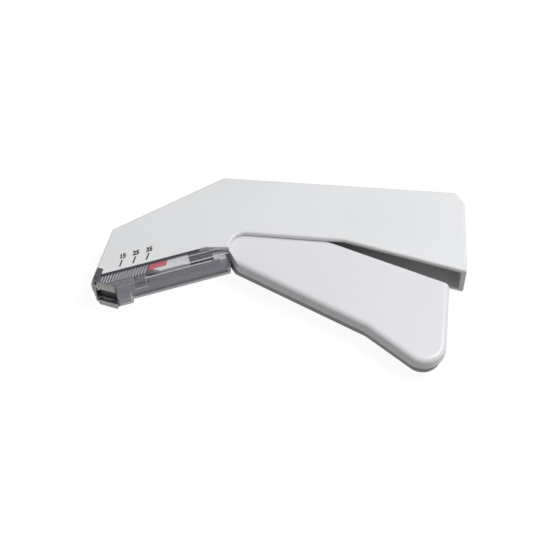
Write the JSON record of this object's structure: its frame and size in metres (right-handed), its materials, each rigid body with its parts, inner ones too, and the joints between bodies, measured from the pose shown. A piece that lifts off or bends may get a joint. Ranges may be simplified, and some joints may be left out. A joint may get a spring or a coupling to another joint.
{
  "type": "skin stapler",
  "caption": "Hand-held skin stapler: white housing with a squeezed trigger, a clear slanted staple magazine and a steel nose that forms wire staples.",
  "frame": {"origin": "on the trigger pivot's axis, at the side face that the stapler lies on", "axes": "+X from the nose to the heel of the grip, +Y up the grip away from the trigger, +Z across the width of the housing"},
  "size_m": [0.16, 0.0888, 0.018],
  "materials": {
    "housing_white": "fine satin, moulded",
    "trigger_white": "fine satin, moulded",
    "clear_smoke": "clear smoke-tinted plastic, polished",
    "red_plastic": "satin",
    "pale_plastic": "satin",
    "carriage_plastic": "satin",
    "nose_steel": "rolled and polished stainless",
    "rail_steel": "rolled stainless",
    "anvil_steel": "rolled stainless",
    "arm_steel": "blanked stainless",
    "pin_steel": "ground",
    "staple_wire": "drawn bright wire",
    "spring_steel": "drawn wire and strip",
    "bush_brass": "turned"
  },
  "bodies": {
    "housing": {"body_shell_upper": "housing_white", "body_shell_lower": "housing_white", "trigger_pivot_pin": "pin_steel", "magazine_cover": "clear_smoke", "staple_rail": "rail_steel", "anvil_plate": "anvil_steel", "nose_plate": "nose_steel", "magazine_plug": "pale_plastic", "feed_spring": "spring_steel", "staple_stack": "staple_wire", "ready_staple": "staple_wire", "ejector_spring": "spring_steel", "trigger_spring": "spring_steel"},
    "trigger": {"trigger_shell_upper": "trigger_white", "trigger_shell_lower": "trigger_white", "trigger_arm": "arm_steel", "drive_pin": "pin_steel", "pivot_bush": "bush_brass"},
    "driver": {"driver_blade": "rail_steel", "driver_carriage": "carriage_plastic", "driver_rivets": "pin_steel"},
    "pusher": {"staple_pusher": "pale_plastic", "pusher_indicator": "red_plastic"}
  },
  "joints": [
    {"name": "trigger_squeeze", "type": "hinge", "parent": "housing", "child": "trigger", "pos_m": [0, 0, 0.009], "axis": [0, 0, 1], "range_deg": [0, 11], "stiffness_Nm_per_rad": 0.6, "springref_deg": -5.73, "deforming": ["trigger_spring"]},
    {"name": "driver_stroke", "type": "slide", "parent": "housing", "child": "driver", "axis": [-0.2924, -0.9563, 0], "range_m": [0, 0.00664], "deforming": ["ready_staple"]},
    {"name": "pusher_feed", "type": "slide", "parent": "housing", "child": "pusher", "axis": [-0.9563, -0.2924, 0], "range_m": [0, 0.021], "deforming": ["feed_spring", "staple_stack"]}
  ],
  "couplings": [
    {"joint": "driver_stroke", "follows": "trigger_squeeze", "m_per_rad": 0.0343}
  ]
}
